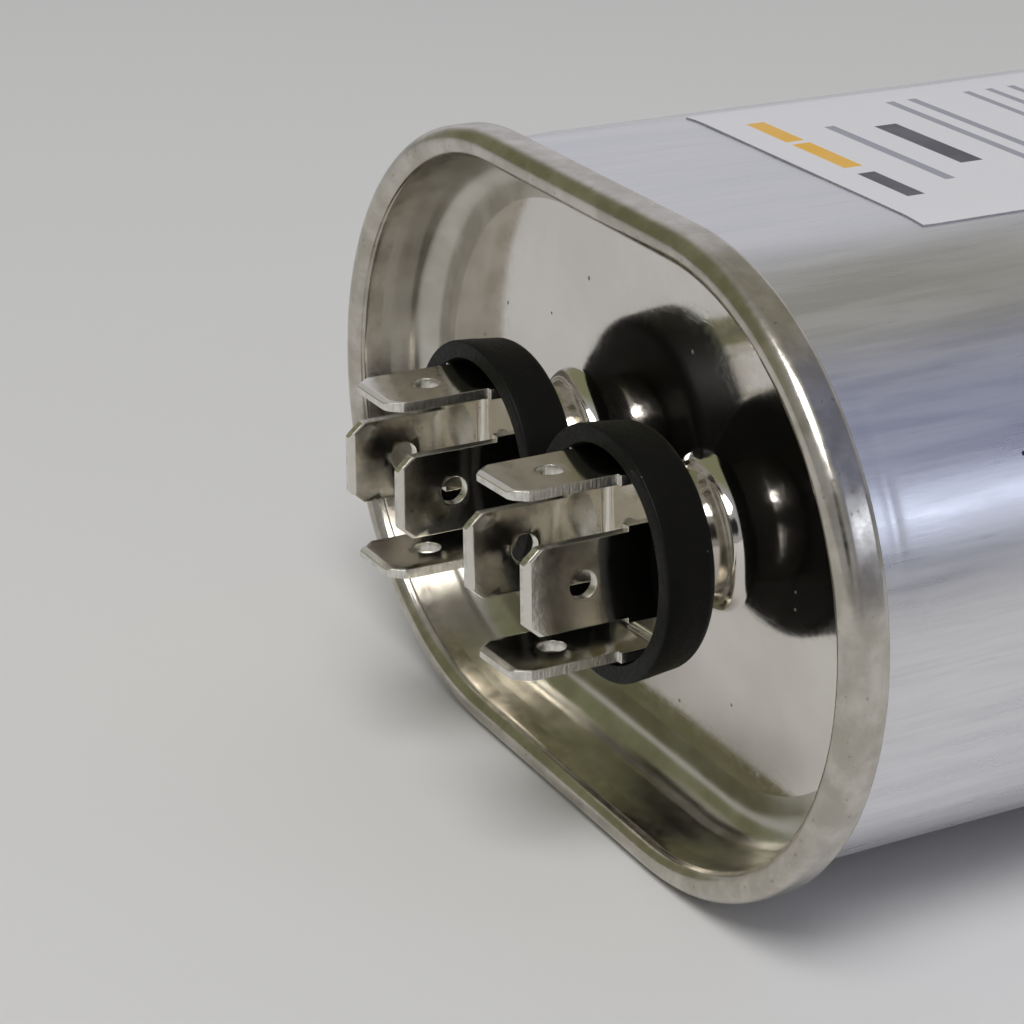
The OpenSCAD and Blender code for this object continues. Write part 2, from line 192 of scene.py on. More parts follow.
def revolve(profile, cx, ch, n, move=None, material=0):
    """Carries (r, d) points round an axis along Y at (cx, ch)."""
    prof = np.array(profile, float)
    v_len = np.concatenate([[0], np.cumsum(np.hypot(*np.diff(prof, axis=0).T))])
    m = len(prof)
    verts = []
    for i in range(n):
        a = 2 * math.pi * i / n
        for (r, d), v in zip(prof, v_len):
            dr, dd = move(a, v, r, d) if move else (0.0, 0.0)
            verts.append((cx + (r + dr) * math.cos(a), ch + (r + dr) * math.sin(a), d + dd))
    mean_r = prof[:, 0].mean()
    faces, uvs = [], []
    for i in range(n):
        j = (i + 1) % n
        for k in range(m - 1):
            faces.append((i * m + k, j * m + k, j * m + k + 1, i * m + k + 1))
            s0, s1 = (2 * math.pi * q / n * mean_r for q in (i, i + 1))
            uvs += [(s0, v_len[k]), (s1, v_len[k]), (s1, v_len[k + 1]), (s0, v_len[k + 1])]
    return verts, faces, uvs, [material] * len(faces)


def wave(x, y, z, scale, seed):
    """Smooth noise between about -1 and 1."""
    return noise.noise(Vector((x / scale + seed * 17.3, y / scale - seed * 5.1, z / scale + seed)))


# ---------------------------------------------------------------- node helpers

class Nodes:
    """A short way to write a material's nodes."""

    def __init__(self, name):
        self.mat = bpy.data.materials.new(name)
        self.mat.use_nodes = True
        self.tree = self.mat.node_tree
        self.shader = self.tree.nodes["Principled BSDF"]
        self.out = self.tree.nodes["Material Output"]

    def add(self, kind, **settings):
        n = self.tree.nodes.new(kind)
        for key, value in settings.items():
            setattr(n, key, value)
        return n

    def link(self, a, b):
        self.tree.links.new(a, b)
        return b

    def value(self, socket, v):
        """Sets a socket, or links to it."""
        if isinstance(v, bpy.types.NodeSocket):
            self.tree.links.new(v, socket)
        elif v is not None:
            if isinstance(v, (tuple, list)) and len(v) == 3 and socket.type == "RGBA":
                v = (*v, 1.0)
            socket.default_value = v

    def coords(self, scale=(1, 1, 1), uv=False, offset=(0, 0, 0)):
        """Object coordinates in mm, or the flow map's, times scale."""
        if uv:
            src = self.add("ShaderNodeUVMap", uv_map="flow").outputs["UV"]
            unit = 1.0
        else:
            src = self.add("ShaderNodeTexCoord").outputs["Object"]
            unit = 1000.0
        m = self.add("ShaderNodeMapping")
        m.inputs["Scale"].default_value = [unit * s for s in scale]
        m.inputs["Location"].default_value = offset
        self.link(src, m.inputs["Vector"])
        return m.outputs["Vector"]

    def noise(self, vector, scale=1.0, detail=3.0, rough=0.5):
        n = self.add("ShaderNodeTexNoise")
        self.link(vector, n.inputs["Vector"])
        n.inputs["Scale"].default_value = scale
        n.inputs["Detail"].default_value = detail
        n.inputs["Roughness"].default_value = rough
        return n.outputs["Fac"]

    def voronoi(self, vector, scale=1.0):
        n = self.add("ShaderNodeTexVoronoi")
        self.link(vector, n.inputs["Vector"])
        n.inputs["Scale"].default_value = scale
        return n.outputs["Distance"], n.outputs["Color"]

    def math(self, op, a, b):
        n = self.add("ShaderNodeMath", operation=op)
        for socket, v in zip(n.inputs, (a, b)):
            self.value(socket, v)
        return n.outputs[0]

    def ramp(self, fac, low, high, to_low=0.0, to_high=1.0):
        n = self.add("ShaderNodeMapRange")
        n.interpolation_type = "SMOOTHSTEP"
        self.value(n.inputs["Value"], fac)
        n.inputs["From Min"].default_value = low
        n.inputs["From Max"].default_value = high
        n.inputs["To Min"].default_value = to_low
        n.inputs["To Max"].default_value = to_high
        return n.outputs["Result"]

    def mix(self, fac, a, b):
        n = self.add("ShaderNodeMix", data_type="RGBA")
        self.value(n.inputs["Factor"], fac)
        self.value(n.inputs[6], a)
        self.value(n.inputs[7], b)
        return n.outputs[2]

    def separate(self, vector):
        n = self.add("ShaderNodeSeparateXYZ")
        self.link(vector, n.inputs[0])
        return n.outputs

    def bump(self, height, distance, strength=1.0, normal=None):
        """distance in mm."""
        n = self.add("ShaderNodeBump")
        n.inputs["Strength"].default_value = strength
        n.inputs["Distance"].default_value = distance * MM
        self.link(height, n.inputs["Height"])
        if normal is not None:
            self.link(normal, n.inputs["Normal"])
        return n.outputs["Normal"]

    def set(self, **inputs):
        names = {"color": "Base Color", "metallic": "Metallic", "roughness": "Roughness",
                 "normal": "Normal", "specular": "Specular IOR Level"}
        for key, v in inputs.items():
            self.value(self.shader.inputs[names[key]], v)
        return self.mat


def specks(m, vector, scale, size, keep):
    """Round specks of a given size, in a share keep of the cells."""
    dist, col = m.voronoi(vector, scale)
    pick = m.separate(col)
    on = m.math("LESS_THAN", pick[0], keep)
    grow = m.math("MULTIPLY", pick[1], size)
    dot = m.math("LESS_THAN", dist, grow)
    return m.math("MULTIPLY", on, dot)


# ---------------------------------------------------------------- materials

def tin_panel():
    m = Nodes("tin_panel")
    c = m.coords()
    cloud = m.noise(c, 0.12, 4, 0.55)
    fine = m.noise(c, 2.2, 3, 0.6)
    color = m.mix(m.ramp(cloud, 0.35, 0.65), (0.74, 0.705, 0.66), (0.80, 0.77, 0.73))
    dust = specks(m, c, 0.55, 0.11, 0.3)
    color = m.mix(dust, color, (0.42, 0.41, 0.39))
    rough = m.ramp(fine, 0.3, 0.7, 0.075, 0.12)
    rough = m.math("MAXIMUM", rough, m.math("MULTIPLY", dust, 0.6))
    scratch = m.noise(m.coords((0.35, 0.35, 6.0)), 1.6, 2, 0.4)
    scratch_2 = m.noise(m.coords((5.0, 0.4, 0.5)), 1.1, 2, 0.4)
    n = m.bump(m.noise(c, 0.10, 1, 0.5), 0.02, 1.0)
    n = m.bump(m.ramp(scratch, 0.62, 0.72), 0.0006, 1.0, n)
    n = m.bump(m.ramp(scratch_2, 0.64, 0.74), 0.0006, 1.0, n)
    n = m.bump(fine, 0.0010, 1.0, n)
    n = m.bump(dust, 0.01, 1.0, n)
    return m.set(color=color, metallic=1.0, roughness=rough, normal=n)


def tin_rim():
    m = Nodes("tin_rim")
    around = m.coords((0.05, 5.0, 1), uv=True)
    c = m.coords()
    brushed = m.noise(around, 1.0, 4, 0.65)
    cloud = m.noise(c, 0.35, 4, 0.6)
    pits = specks(m, c, 1.6, 0.22, 0.35)
    color = m.mix(m.ramp(cloud, 0.35, 0.7), (0.47, 0.44, 0.38), (0.64, 0.60, 0.545))
    color = m.mix(m.math("MULTIPLY", m.ramp(brushed, 0.55, 0.75), 0.35), color, (0.40, 0.37, 0.32))
    color = m.mix(m.math("MULTIPLY", pits, 0.5), color, (0.24, 0.22, 0.19))
    rough = m.ramp(m.noise(c, 0.9, 3, 0.6), 0.3, 0.7, 0.15, 0.26)
    n = m.bump(brushed, 0.0012, 1.0)
    n = m.bump(pits, -0.01, 1.0, n)
    n = m.bump(m.noise(c, 1.2, 3, 0.55), 0.003, 1.0, n)
    return m.set(color=color, metallic=1.0, roughness=rough, normal=n)


def shaded_tin_wall():
    """The drawn wall of the dish: the stretched tin is rougher, and its colour is painted darker than
    the panel's as shade inside the dish.
    """
    m = Nodes("shaded_tin_wall")
    c = m.coords()
    cloud = m.noise(c, 0.22, 3, 0.55)
    fine = m.noise(m.coords((0.25, 0.25, 3.0), uv=True), 1.0, 3, 0.6)
    # painted shade: the wall's tones are darker than the panel's tin
    color = m.mix(m.ramp(cloud, 0.35, 0.65), (0.50, 0.475, 0.42), (0.62, 0.60, 0.545))
    rough = m.ramp(cloud, 0.3, 0.7, 0.20, 0.27)
    n = m.bump(fine, 0.0015, 1.0)
    return m.set(color=color, metallic=1.0, roughness=rough, normal=n)


def drawn_aluminium():
    m = Nodes("drawn_aluminium")
    c = m.coords()
    lines = m.noise(m.coords((3.2, 0.06, 3.2)), 1.0, 5, 0.7)
    broad = m.noise(m.coords((0.5, 0.045, 0.5)), 1.0, 4, 0.6)
    grain = m.noise(m.coords((2.6, 0.7, 2.6)), 1.0, 4, 0.7)
    dark = m.ramp(m.noise(m.coords((1.5, 0.10, 1.5)), 1.0, 5, 0.7), 0.60, 0.78)
    color = m.mix(m.ramp(broad, 0.35, 0.65), (0.73, 0.73, 0.755), (0.82, 0.82, 0.84))
    color = m.mix(m.math("MULTIPLY", m.ramp(lines, 0.5, 0.75), 0.35), color, (0.60, 0.60, 0.63))
    color = m.mix(m.math("MULTIPLY", dark, 0.45), color, (0.40, 0.39, 0.43))
    pits = specks(m, c, 0.22, 0.055, 0.5)
    color = m.mix(pits, color, (0.06, 0.055, 0.09))
    rough = m.ramp(broad, 0.3, 0.7, 0.25, 0.36)
    n = m.bump(m.noise(c, 0.07, 2, 0.5), 0.05, 1.0)
    n = m.bump(lines, 0.005, 1.0, n)
    n = m.bump(grain, 0.004, 1.0, n)
    n = m.bump(pits, -0.03, 1.0, n)
    return m.set(color=color, metallic=1.0, roughness=rough, normal=n)


def black_rubber():
    m = Nodes("black_rubber")
    c = m.coords()
    grain = m.noise(c, 4.0, 4, 0.65)
    cloud = m.noise(c, 0.4, 3, 0.6)
    dust = specks(m, c, 0.9, 0.075, 0.35)
    lint = m.ramp(m.noise(m.coords((2.0, 0.4, 1.2)), 1.5, 3, 0.6), 0.70, 0.82)
    color = m.mix(cloud, (0.0030, 0.0030, 0.0030), (0.0060, 0.0060, 0.0058))
    color = m.mix(m.math("MULTIPLY", lint, 0.10), color, (0.10, 0.10, 0.09))
    color = m.mix(dust, color, (0.32, 0.31, 0.28))
    n = m.bump(grain, 0.012, 1.0)
    n = m.bump(m.noise(c, 1.0, 2, 0.5), 0.03, 1.0, n)
    return m.set(color=color, roughness=m.ramp(grain, 0.3, 0.7, 0.40, 0.55), normal=n, specular=0.16)


def blade_tin():
    m = Nodes("blade_tin")
    c = m.coords()
    # frosted towards the tips, smooth towards the cups
    depth = m.separate(c)[1]
    frost = m.ramp(m.math("ADD", depth, m.math("MULTIPLY", m.noise(c, 0.5, 2), 2.0)),
                   CREST_Y - 10.5, CREST_Y - 7.0, 1.0, 0.0)
    peel = m.noise(c, 3.4, 3, 0.55)
    mottled = m.noise(c, 1.1, 4, 0.65)
    color = m.mix(m.ramp(mottled, 0.35, 0.65), (0.73, 0.70, 0.635), (0.77, 0.74, 0.675))
    spots = specks(m, c, 1.2, 0.10, 0.25)
    color = m.mix(spots, color, (0.25, 0.24, 0.2))
    rough = m.math("ADD", m.ramp(mottled, 0.3, 0.7, 0.09, 0.13), m.math("MULTIPLY", frost, 0.16))
    n = m.bump(m.noise(c, 0.25, 1, 0.5), 0.006, 1.0)
    n = m.bump(m.math("MULTIPLY", peel, frost), 0.010, 1.0, n)
    n = m.bump(peel, 0.003, 1.0, n)
    n = m.bump(m.ramp(m.noise(m.coords((6.0, 0.8, 1.0)), 1.0, 2), 0.64, 0.74), 0.0015, 1.0, n)
    return m.set(color=color, metallic=1.0, roughness=rough, normal=n)


def blade_cut():
    """The sheared edges of the blades, with the burr that stamping leaves."""
    m = Nodes("blade_cut")
    c = m.coords()
    ripple = m.noise(m.coords((1.0, 5.0, 1.0)), 1.0, 4, 0.7)
    color = m.mix(m.ramp(ripple, 0.4, 0.6), (0.62, 0.60, 0.54), (0.80, 0.78, 0.73))
    n = m.bump(ripple, 0.03, 1.0)
    n = m.bump(m.noise(c, 6.0, 3, 0.6), 0.006, 1.0, n)
    return m.set(color=color, metallic=1.0, roughness=0.27, normal=n)


def box_mask(m, x, y, x0, x1, y0, y1, soft=0.05):
    """1 inside a box of the flow map, with soft edges."""
    a = m.ramp(x, x0 - soft, x0 + soft)
    b = m.ramp(x, x1 - soft, x1 + soft, 1.0, 0.0)
    c = m.ramp(y, y0 - soft, y0 + soft)
    d = m.ramp(y, y1 - soft, y1 + soft, 1.0, 0.0)
    return m.math("MULTIPLY", m.math("MULTIPLY", a, b), m.math("MULTIPLY", c, d))


AMBER = (0.80, 0.43, 0.01)
INK = (0.045, 0.045, 0.06)
LIGHT_INK = (0.30, 0.30, 0.36)
# Plain bars of the label: x0, x1, distance from the label's front edge, ink
BARS = [
    (-11.2, -5.6, 3.0, 4.6, AMBER),
    (-4.9, 2.0, 3.0, 4.6, AMBER),
    (3.6, 9.8, 3.0, 4.5, INK),
    (-8.0, 7.5, 8.0, 8.9, LIGHT_INK),
    (-6.5, 4.5, 11.6, 13.6, INK),
    (-12.0, 12.0, 16.5, 17.3, LIGHT_INK),
    (-12.0, 9.0, 18.6, 19.4, LIGHT_INK),
    (-12.0, 11.0, 24.0, 24.7, LIGHT_INK),
    (-12.0, 10.0, 26.2, 26.9, LIGHT_INK),
    (-12.0, 6.0, 28.4, 29.1, LIGHT_INK),
    (-12.0, 12.0, 34.0, 34.3, INK),
    (-12.0, -1.0, 37.0, 42.0, LIGHT_INK),
    (1.0, 12.0, 37.0, 42.0, AMBER),
    (-12.0, 12.0, 45.0, 45.3, INK),
    (-12.0, 8.0, 49.0, 50.0, LIGHT_INK),
    (-12.0, 11.0, 52.0, 53.0, LIGHT_INK),
]


def label_film():
    m = Nodes("label_film")
    uv = m.coords(uv=True)
    x, y, _ = m.separate(uv)
    c = m.coords()
    paper = m.noise(c, 0.15, 3, 0.6)
    color = m.mix(paper, (0.70, 0.695, 0.74), (0.74, 0.735, 0.77))
    for x0, x1, y0, y1, ink in BARS:
        color = m.mix(box_mask(m, x, y, x0, x1, y0, y1), color, ink)
    n = m.bump(m.noise(c, 0.8, 3, 0.6), 0.008, 1.0)
    return m.set(color=color, roughness=m.ramp(paper, 0.3, 0.7, 0.32, 0.42), normal=n,
                 specular=0.4)


def label_edge_shade():
    m = Nodes("label_edge_shade")
    c = m.coords()
    # painted shade: a dark grey band along the label's edge, where the sticker steps down to the can
    color = m.mix(m.noise(c, 1.5, 3), (0.20, 0.20, 0.24), (0.34, 0.34, 0.38))
    return m.set(color=color, roughness=0.6)


def plain(name, low, high, rough_low, rough_high, scale=0.8, bump=0.01, metallic=0.0):
    """A quiet material for the pieces that the can encloses."""
    m = Nodes(name)
    c = m.coords()
    cloud = m.noise(c, scale, 4, 0.6)
    n = m.bump(m.noise(c, scale * 5, 3, 0.6), bump, 1.0)
    return m.set(color=m.mix(m.ramp(cloud, 0.3, 0.7), low, high), metallic=metallic,
                 roughness=m.ramp(cloud, 0.3, 0.7, rough_low, rough_high), normal=n)


TIN_PANEL = tin_panel()
TIN_RIM = tin_rim()
SHADED_TIN_WALL = shaded_tin_wall()
ALUMINIUM = drawn_aluminium()
RUBBER = black_rubber()
BLADE = blade_tin()
BLADE_CUT = blade_cut()
LABEL = label_film()
LABEL_EDGE_SHADE = label_edge_shade()


# ---------------------------------------------------------------- cover

def cover_parts():
    ring = oval_ring(14, 128)
    crest = arc(CREST_R, CREST_BEND, CREST_BEND, 0, -180, 40)
    # the line that the seaming chuck leaves on the crest's inner side
    marked = []
    for k, (r, d) in enumerate(crest):
        a = 180 * k / 40
        dip = 0.035 * math.exp(-((a - 158) / 4.0) ** 2)
        marked.append((r + dip * 0.9, d + dip * 0.3))
    wall_foot = (CORNER_R + CORNER * math.cos(WALL_LEAN), CORNER_D + CORNER * math.sin(WALL_LEAN))
    wall = [(WALL_IN, 1.6), (WALL_IN, 2.4), (WALL_IN, SEAM_HEIGHT - 0.12),
            (WALL_IN - 0.01, SEAM_HEIGHT + 0.1)]
    lean = [tuple(np.array(wall[-1]) * (1 - t) + np.array(wall_foot) * t)
            for t in (0.33, 0.67)]
    corner = arc(CORNER_R, CORNER_D, CORNER, 5, 90, 28)
    rim_profile = merge_profile(
        [(SKIRT_R - SKIRT_BEND + 0.04, SEAM_HEIGHT - 1.2)],
        arc(SKIRT_R, SEAM_HEIGHT - SKIRT_BEND, SKIRT_BEND, 180, 0, 22),
        [(SEAM_R, 2.2), (SEAM_R, 1.7)],
        marked,
        wall[:2])
    dish_profile = merge_profile(wall[1:], lean, corner,
                                 [(CORNER_R - 0.5, PANEL), (CORNER_R - PANEL_STEP, PANEL)])

    def move(s, v, x, h, d):
        # the seam is rolled, so it wavers a little; it only moves inwards
        soft = 0.02 * (wave(x, h, 0.2 * d, 14, 3) - 0.7)
        near = 0.012 * (wave(x, h, d, 3.5, 5) - 0.7)
        fade = min(1.0, max(0.0, (PANEL - 1.0 - d) / 2.0))
        return ((soft + near) * fade, 0.0)

    rim = sweep_oval(rim_profile, ring, move, 1)
    dish = sweep_oval(dish_profile, ring, move, 2)

    # the flat panel between the dish and the feet of the bosses
    panel_r = CORNER_R - PANEL_STEP
    outline = [(cx + panel_r * nx, panel_r * nh) for cx, nx, nh, _ in ring[:-1]]
    foot_r = BOSS_R + BOSS_STEP + BOSS_FOOT
    n_boss = 112
    apron_r = foot_r + APRON
    feet = []
    for side in (-1, 1):
        feet.append([(side * TERMINAL_X + apron_r * math.cos(2 * math.pi * i / n_boss),
                      apron_r * math.sin(2 * math.pi * i / n_boss)) for i in range(n_boss)])
    points = list(outline)
    loops = [list(range(len(outline)))]
    for foot in feet:
        loops.append(list(range(len(points), len(points) + n_boss)))
        points += foot
    for x in np.arange(-32, 32.1, 1.6):
        for h in np.arange(-19, 19.1, 1.6):
            x2, h2 = x + 0.3 * rng.random(), h + 0.3 * rng.random()
            r = math.hypot(max(abs(x2) - STRAIGHT, 0), h2)
            away = min(math.hypot(x2 - s * TERMINAL_X, h2) for s in (-1, 1))
            if r < panel_r - 0.8 and away > apron_r + 0.8:
                points.append((x2, h2))
    edges = [(loop[i], loop[(i + 1) % len(loop)]) for loop in loops for i in range(len(loop))]
    v2, _, f2, _, _, _ = delaunay_2d_cdt([Vector(p) for p in points], edges, [], 0, 1e-5)
    verts = [(p.x, p.y, PANEL) for p in v2]
    faces, uvs = [], []
    for f in f2:
        cx = sum(v2[i].x for i in f) / len(f)
        ch = sum(v2[i].y for i in f) / len(f)
        if min(math.hypot(cx - s * TERMINAL_X, ch) for s in (-1, 1)) < apron_r - 0.01:
            continue
        if math.hypot(max(abs(cx) - STRAIGHT, 0), ch) > panel_r:
            continue
        faces.append(tuple(f))
        uvs += [(v2[i].x, v2[i].y) for i in f]
    panel = (verts, faces, uvs, [0] * len(faces))

    parts = [rim, dish, panel]
    for side in (-1, 1):
        # the panel rises a little towards the boss, then the foot flares up to it
        apron = [(foot_r + APRON * t, PANEL - APRON_RISE * (1 - t) ** 2)
                 for t in np.linspace(1, 0, 12)]
        top = PANEL - APRON_RISE
        flare = [((1 - t) ** 2 * foot_r + 2 * t * (1 - t) * (BOSS_R + 0.36) + t * t * (BOSS_R + 0.05),
                  (1 - t) ** 2 * top + 2 * t * (1 - t) * (PANEL - 0.42)
                  + t * t * (PANEL - BOSS_FOOT))
                 for t in np.linspace(0, 1, 18)]
        profile = merge_profile(
            apron, flare,
            [(BOSS_R - 0.005, PANEL - BOSS_FOOT - 0.08)],
            [(BOSS_R, PANEL - BOSS_FOOT - 1.5), (BOSS_R, SEAT + 0.5)],
            arc(BOSS_R - 0.4, SEAT + 0.4, 0.4, 0, -90, 6),
            [(2.2, SEAT)])
        parts.append(revolve(profile, side * TERMINAL_X, 0, n_boss, None, 0))
    return parts


verts, faces, uvs, mats = join_parts(cover_parts())
cover = make_object("cover_seamed", verts, faces, uvs, [TIN_PANEL, TIN_RIM, SHADED_TIN_WALL], mats, True)


def clean_mesh(ob, distance=1e-6, sharp=35):
    """Welds doubled points and turns all faces outwards."""
    bm = bmesh.new()
    bm.from_mesh(ob.data)
    bmesh.ops.remove_doubles(bm, verts=bm.verts, dist=distance)
    bmesh.ops.recalc_face_normals(bm, faces=bm.faces)
    bm.to_mesh(ob.data)
    bm.free()
    ob.data.shade_smooth()
    if sharp:
        ob.data.set_sharp_from_angle(angle=math.radians(sharp))
    ob.data.update()


clean_mesh(cover, 2e-7, 40)
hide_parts("cover")
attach(cover, "root")


# ---------------------------------------------------------------- can

# Dents and scuffs beside the seam: distance along, depth, size along, size in depth, sink
DENTS = [
    (118.0, 7.2, 3.2, 1.6, 0.10),
    (121.5, 5.6, 1.6, 0.7, 0.12),
    (115.0, 5.0, 2.4, 0.6, 0.10),
    (111.5, 4.6, 1.5, 0.5, 0.08),
    (60.0, 5.3, 6.0, 0.5, 0.06),
]


def can_move(s, v, x, h, d):
    dr = 0.035 * (wave(x, h, 0.35 * d, 17, 11) - 0.6)
    dr += 0.008 * wave(x, h, 0.25 * d, 4.0, 12)
    for s0, d0, a, b, sink in DENTS:
        q = ((s - s0) / a) ** 2 + ((d - d0) / b) ** 2
        if q < 9:
            dr -= sink * math.exp(-q)
    return dr, 0.0


can_ring = oval_ring(24, 130)
side = [(CAN_R, d) for d in np.concatenate([np.linspace(2.3, 8, 20),
                                            np.linspace(8.5, CAN_LENGTH - BASE_CORNER, 110)])]
corner = arc(CAN_R - BASE_CORNER, CAN_LENGTH - BASE_CORNER, BASE_CORNER, 0, 90, 16)
base = [(r, CAN_LENGTH) for r in (17, 12, 6, 2, 0.05)]
can_profile = merge_profile(side, corner, base)
verts, faces, uvs, mats = sweep_oval(
    can_profile, can_ring,
    lambda s, v, x, h, d: can_move(s, v, x, h, d) if d < CAN_LENGTH - 4 else (-0.01, -0.01))
can = make_object("can_drawn", verts, faces, uvs, [ALUMINIUM])
clean_mesh(can, 1e-7, 40)
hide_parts("can")
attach(can, "root")


# ---------------------------------------------------------------- insulator cups

def cup(side, name):
    back_r = CUP_R - CUP_DRAFT
    front = SEAT - CUP_HEIGHT
    floor_d = SEAT - CUP_FLOOR
    profile = merge_profile(
        [(CUP_HOLE, SEAT)],
        arc(back_r - CUP_CORNER, SEAT - CUP_CORNER, CUP_CORNER, 90, 0, 14),
        [(back_r + 0.1, SEAT - 1.9), (CUP_R - 0.06, front + 1.2)],
        arc(CUP_R - CUP_LIP, front + CUP_LIP, CUP_LIP, 0, -90, 6),
        arc(CUP_BORE + CUP_LIP, front + CUP_LIP, CUP_LIP, -90, -180, 6),
        [(CUP_BORE, front + 1.0), (CUP_BORE, floor_d - CUP_FILLET)],
        arc(CUP_BORE - CUP_FILLET, floor_d - CUP_FILLET, CUP_FILLET, 0, 90, 4),
        [(CUP_HOLE, floor_d), (CUP_HOLE, SEAT)])

    def move(a, v, r, d):
        return 0.02 * (wave(r * math.cos(a), r * math.sin(a), d, 5, 21 + side) - 0.6), 0.0

    v, f, u, m = revolve(profile, side * TERMINAL_X, 0, 128, move)
    ob = make_object(name, v, f, u, [RUBBER])
    clean_mesh(ob, 1e-7, 50)
    return ob


for side, word in ((-1, "left"), (1, "right")):
    ob = cup(side, f"cup_{word}")
    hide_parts(f"insulator_cup_{word}")
    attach(ob, "root")


# ---------------------------------------------------------------- blade terminals

SHEET = 0.8
BLADE_W = 6.35
SIDE_INNER = 7.44 / 2            # inner faces of the side blades from the terminal's centre
END_INNER = 12.28 / 2            # and of the upper and lower blades
TURNS = {"left": 1.5, "right": 3.5}
ROOT_W = 7.15
BEND_R = 0.6
BLADE_BASE = 0.65                # depth of the base plate's front face
SHOULDER = -2.55
TIP = -10.65
HOLE_D = TIP + 4.55
HOLE_R = 1.05
CHAMFER_A, CHAMFER_L = 1.0, 1.15
TIP_BEVEL = 0.5
CHAMFER_BEVEL = 0.2
TIP_SHEET = 0.5


def blade_arm(inner, seed, base):
    """One arm as a flat blank in (u across, v along, t thick), bevelled, then bent up.
    v is 0 where the bend begins."""
    top = -TIP + BLADE_BASE - BEND_R        # blade height above the bend
    shoulder = -SHOULDER + BLADE_BASE - BEND_R
    bend_len = (BEND_R + SHEET / 2) * math.pi / 2
    bottom = -bend_len - (inner - BEND_R if base else 0.02)
    w, rw = BLADE_W / 2, ROOT_W / 2
    outline = [(-rw, bottom), (rw, bottom), (rw, shoulder), (w, shoulder), (w, top - CHAMFER_L),
               (w - CHAMFER_A, top), (CHAMFER_A - w, top), (-w, top - CHAMFER_L), (-w, shoulder),
               (-rw, shoulder)]
    bm = bmesh.new()
    n_hole = 48
    pts = [Vector(p) for p in outline]
    count = len(pts)
    hole_v = -HOLE_D + BLADE_BASE - BEND_R
    pts += [Vector((HOLE_R * math.cos(2 * math.pi * i / n_hole),
                    hole_v + HOLE_R * math.sin(2 * math.pi * i / n_hole))) for i in range(n_hole)]
    edges = [(i, (i + 1) % count) for i in range(count)]
    edges += [(count + i, count + (i + 1) % n_hole) for i in range(n_hole)]
    v2, _, f2, _, _, _ = delaunay_2d_cdt(pts, edges, [], 1, 1e-6)
    flat = [bm.verts.new((p.x, p.y, -SHEET / 2)) for p in v2]
    for f in f2:
        if all(abs(math.hypot(v2[i].x, v2[i].y - hole_v) - HOLE_R) < 1e-4 for i in f):
            continue
        bm.faces.new([flat[i] for i in f])
    bmesh.ops.dissolve_limit(bm, angle_limit=0.01, verts=bm.verts, edges=bm.edges,
                             delimit={"NORMAL"})
    lower = list(bm.faces)
    ext = bmesh.ops.extrude_face_region(bm, geom=lower)
    bmesh.ops.translate(bm, vec=(0, 0, SHEET),
                        verts=[g for g in ext["geom"] if isinstance(g, bmesh.types.BMVert)])
    bmesh.ops.recalc_face_normals(bm, faces=bm.faces)
    # thin the edges round the tip on both faces
    lean = math.atan((SHEET - TIP_SHEET) / 2 / TIP_BEVEL)
    chamfer_dir = Vector((CHAMFER_L, CHAMFER_A, 0)).normalized()
    cuts = [(Vector((0, top, 0)), Vector((0, 1, 0)), TIP_BEVEL)]
    for hand in (-1, 1):
        cuts.append((Vector((hand * (w - CHAMFER_A / 2), top - CHAMFER_L / 2, 0)),
                     Vector((hand * chamfer_dir.x, chamfer_dir.y, 0)), CHAMFER_BEVEL))
    for origin, out, reach in cuts:
        for face in (-1, 1):
            co = origin - out * reach + Vector((0, 0, face * SHEET / 2))
            no = Vector((0, 0, face)) * math.cos(lean) + out * math.sin(lean)
            res = bmesh.ops.bisect_plane(bm, geom=bm.verts[:] + bm.edges[:] + bm.faces[:],
                                         plane_co=co, plane_no=no, clear_outer=True, dist=1e-6)
            rim = [g for g in res["geom_cut"] if isinstance(g, bmesh.types.BMEdge)]
            bmesh.ops.holes_fill(bm, edges=rim)
    bmesh.ops.recalc_face_normals(bm, faces=bm.faces)
    # mark the sheared edge faces, then soften all sharp edges
    for f in bm.faces:
        f.material_index = 1 if abs(f.normal.z) < 0.5 else 0
    sharp = [e for e in bm.edges if len(e.link_faces) == 2 and e.calc_face_angle() > 0.2]
    bmesh.ops.bevel(bm, geom=sharp, offset=0.055, segments=3, profile=0.6, affect="EDGES",
                    clamp_overlap=True, material=-1)
    # slices through the bend
    for v in np.linspace(-bend_len, 0, 11):
        bmesh.ops.bisect_plane(bm, geom=bm.verts[:] + bm.edges[:] + bm.faces[:],
                               plane_co=(0, v, 0), plane_no=(0, 1, 0), dist=1e-6)
    for v in np.arange(0.8, top - 0.8, 0.8):
        bmesh.ops.bisect_plane(bm, geom=bm.verts[:] + bm.edges[:] + bm.faces[:],
                               plane_co=(0, v, 0), plane_no=(0, 1, 0), dist=1e-6)
    bmesh.ops.triangulate(bm, faces=[f for f in bm.faces if len(f.verts) > 4])
    # bend: the upright's inner face is at X = inner
    mid = inner + SHEET / 2
    for p in bm.verts:
        u, v, t = p.co
        wob = 0.012 * wave(u, v, seed, 3.0, seed)
        if v >= 0:
            x, z = mid + t + wob, BLADE_BASE - BEND_R - v
        elif v > -bend_len:
            a = -v / bend_len * math.pi / 2
            r = BEND_R + SHEET / 2 + t
            x = inner - BEND_R + r * math.cos(a)
            z = BLADE_BASE - BEND_R + r * math.sin(a)
        else:
            x = inner - BEND_R + (v + bend_len)
            z = BLADE_BASE + SHEET / 2 + t
        p.co = (x, u, z)
    return bm


